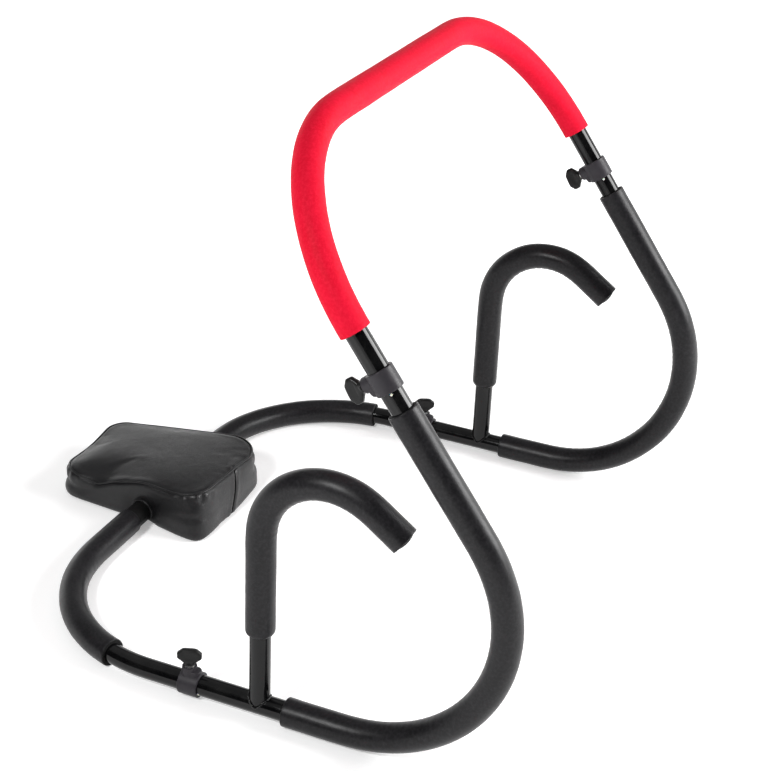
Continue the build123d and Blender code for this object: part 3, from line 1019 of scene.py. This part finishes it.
def weld_bead(name, sign, seed):
    """A rippled bead round the saddle joint of the post on the lower tube."""
    turns = np.linspace(0, 2 * pi, 260, endpoint=False)
    cosines, sines = np.cos(turns), np.sin(turns)
    rise = np.sqrt(sines**2 + 0.03) / sqrt(1.03)
    reach = tube_radius + weld_corner
    line = np.column_stack((
        sign * half_width + reach * cosines + weld_corner * cosines,
        post_y + reach * sines,
        tube_z + reach * rise,
    ))
    radii = []
    for turn, point in zip(turns, line):
        ripple = abs(sin(turn * 17 + noise.noise(Vector(point) * 90) * 2.5))
        lump = noise.noise(Vector(point) * 140 + Vector((seed, 0, 0)))
        radii.append(weld_radius * (0.85 + 0.2 * ripple + 0.5 * lump))
    return tube_along(name, line, np.array(radii), 12, paint)


for seed, (side, sign) in enumerate(side_signs.items()):
    bead = weld_bead(f"{side}_weld_bead", sign, seed * 5.0)
    place_piece(bead, "frame", "tube_paint", f"{side}_weld")

# ---------------------------------------------------------------------- wing knobs
hub_base = 22.75 * mm                   # tube axis to the knob's hub
knob_turns = {"upper_left": 8, "upper_right": 12, "lower_left": 20, "lower_right": 26}
dish_half_width, dish_half_height, dish_height = 7.6, 4.0, 10.4     # in millimetres
dish_depth = 0.12                       # as a share of the wing's thickness
# height above the hub's face, half width, half thickness and squareness, in millimetres
knob_sections = (
    (0.0, 5.0, 5.0, 2.0), (0.35, 5.7, 5.7, 2.0), (1.5, 5.75, 5.6, 2.0), (2.6, 6.4, 5.0, 2.1),
    (3.4, 7.6, 4.6, 2.3), (7.0, 12.3, 4.1, 3.2), (7.7, 12.8, 4.0, 3.6), (8.6, 13.0, 4.0, 3.8),
    (12.9, 13.0, 3.8, 3.8), (13.7, 12.7, 3.7, 3.8), (14.4, 12.1, 3.6, 3.8), (17.2, 8.5, 3.3, 3.6),
    (17.8, 7.7, 3.0, 3.4), (18.2, 6.9, 2.3, 3.2),
)


def wing_knob(name, corner):
    """A moulded knob: round hub flowing into two wings with dished, rimmed faces."""
    upper = corner.startswith("upper")
    sign = side_signs[corner.split("_")[1]]
    start = (upper_clamp if upper else lower_clamp) + np.array((sign * half_width, 0, 0))
    out = upright_normal if upper else np.array((0, 0, 1.0))
    along = upright if upper else np.array((0, 1.0, 0))
    turn = radians(knob_turns[corner])
    wing = cos(turn) * along + sin(turn) * np.cross(out, along)
    flat = np.cross(wing, out)
    table = np.array(knob_sections)
    levels = table[:, 0]
    heights = [np.linspace(a, b, 5)[:-1] for a, b in zip(levels, levels[1:])]
    heights = np.concatenate(heights + [levels[-1:]])
    sections = [smoothed(np.interp(heights, levels, column), 1) for column in table.T[1:]]
    sides = 48
    vertices = []
    for height, half_span, half_thick, power in zip(heights, *sections):
        for s in range(sides):
            angle = 2 * pi * s / sides
            c, d = cos(angle), sin(angle)
            w = half_span * abs(c) ** (2 / power) * (1 if c >= 0 else -1)
            t = half_thick * abs(d) ** (2 / power) * (1 if d >= 0 else -1)
            up = (height - dish_height) / dish_half_height
            t *= 1 - dish_depth * exp(-((w / dish_half_width) ** 4 + up ** 4))
            place = start + out * (hub_base + height * mm) + wing * w * mm + flat * t * mm
            vertices.append(place)
    rings = len(heights)
    faces = [quad for r in range(rings - 1) for quad in ring_quads(r, r + 1, sides)]
    faces.append(tuple(range(sides)))
    faces.append(tuple((rings - 1) * sides + s for s in range(sides)))
    piece = new_piece(name, vertices, faces, [knob_plastic])
    recalculate_normals(piece)
    mark_sharp(piece, 50)
    return piece


for corner in corners:
    knob = wing_knob(f"{corner}_wing_knob", corner)
    place_piece(knob, f"{corner}_knob", "black_plastic", f"{corner}_knob")


# ------------------------------------------------------------ finishes of CAD nodes
def finish_node(name, material):
    """Give a carried-over CAD node its material."""
    piece = nodes[name]
    piece.data.materials.clear()
    piece.data.materials.append(material)


for side in side_signs:
    for part in ("side_tube", "armrest_post", "weld"):
        finish_node(f"{side}_{part}", paint)
    finish_node(f"{side}_armrest_plug", plug_plastic)
finish_node("handle_tube", paint)
finish_node("rear_tube", paint)
finish_node("pad_sleeve", sleeve_plastic)
for corner in corners:
    finish_node(f"{corner}_collar", collar_plastic)
    finish_node(f"{corner}_liner", nylon)
    for part in ("spacer", "nut", "stud"):
        finish_node(f"{corner}_{part}", zinc)
    finish_node(f"{corner}_knob", knob_plastic)
finish_node("pad_cover", vinyl)
finish_node("pad_foam", black_cut)

# ----------------------------------------------------------------- floor and light
floor_half = 60.0


def build_floor():
    """A wide flat floor under the object."""
    ways = ((-1, -1), (1, -1), (1, 1), (-1, 1))
    points = [(floor_half * x, floor_half * y, cad_low.z) for x, y in ways]
    piece = new_piece("studio_floor", points, [(0, 1, 2, 3)], [floor_material()], smooth=False)


def add_lamp(name, kind, power):
    data = bpy.data.lights.new(name, kind)
    data.energy = power
    lamp = bpy.data.objects.new(name, data)
    scene.collection.objects.link(lamp)
    return lamp


def add_area_light(name, towards, distance, size, power):
    """A soft rectangular light that faces the object from the given direction."""
    lamp = add_lamp(name, "AREA", power)
    lamp.data.shape = "RECTANGLE"
    lamp.data.size, lamp.data.size_y = size
    away = Vector(towards).normalized()
    lamp.location = light_target + away * distance
    lamp.rotation_mode = "QUATERNION"
    lamp.rotation_quaternion = (-away).to_track_quat("-Z", "Y")


def build_world():
    """A dim studio whose pale backdrop curves up behind the object, dark in front."""
    world = bpy.data.worlds.new("studio")
    scene.world = world
    world.use_nodes = True
    tree = world.node_tree
    background = tree.nodes["Background"]
    direction = add_node(tree, "TexCoord").outputs["Generated"]
    facing = add_node(tree, "VectorMath", {0: direction, 1: tuple(dark_side)},
                      operation="DOT_PRODUCT").outputs["Value"]
    height = add_node(tree, "SeparateXYZ", {"Vector": direction}).outputs["Z"]
    behind = smooth_range(tree, facing, *backdrop_edges, 1, 0)
    wall = smooth_range(tree, height, backdrop_foot, backdrop_top, backdrop_light, wall_light)
    lit = add_node(tree, "Math", {0: behind, 1: wall}, operation="MULTIPLY")
    shade = add_node(tree, "Math", {0: lit.outputs["Value"], 1: room_light},
                     operation="ADD")
    tree.links.new(shade.outputs["Value"], background.inputs["Strength"])
    background.inputs["Color"].default_value = grey(1)


def add_ceiling_light(strength, spread):
    """Even light from above, as from a whole lit ceiling."""
    lamp = add_lamp("ceiling", "SUN", strength)
    lamp.data.angle = radians(spread)
    lamp.rotation_euler = (radians(-8), radians(6), 0)


light_target = Vector((0, 0, 0.25))
dark_side = Vector((-0.88, -0.05, 0.15)).normalized()
backdrop_edges = (-0.8, 0.35)           # cosines from the dark side: fully lit, and dark
backdrop_foot, backdrop_top = 0.02, 0.45    # heights between which the backdrop fades
backdrop_light = 2.2
wall_light = 0.05
room_light = 0.02

build_floor()
build_world()
add_ceiling_light(0.6, 85)
add_area_light("window", (0.33, -0.86, 0.38), 2.4, (1.35, 1.2), 78)
add_area_light("key", (-0.77, 0.14, 0.60), 2.4, (0.4, 0.4), 38)

# -------------------------------------------------------------------------- camera
camera_place = Vector((-1.5909, -0.7296, 1.1133))
camera_heading = 67.14          # degrees from +Y towards +X
camera_pitch = -27.17
camera_roll = 2.45
camera_lens = 80.7
camera_shift = (0.0120, 0.0068)


def build_camera():
    """The camera at the photo's viewing angle."""
    data = bpy.data.cameras.new("camera")
    data.lens = camera_lens
    data.sensor_width = 36
    data.shift_x, data.shift_y = camera_shift
    data.clip_end = 50
    camera = bpy.data.objects.new("camera", data)
    scene.collection.objects.link(camera)
    turn = (Matrix.Rotation(radians(-camera_heading), 4, "Z")
            @ Matrix.Rotation(radians(90 + camera_pitch), 4, "X")
            @ Matrix.Rotation(radians(camera_roll), 4, "Z"))
    camera.matrix_world = Matrix.Translation(camera_place) @ turn
    scene.camera = camera


build_camera()
scene.view_settings.view_transform = "Standard"
scene.view_settings.exposure = 0.0
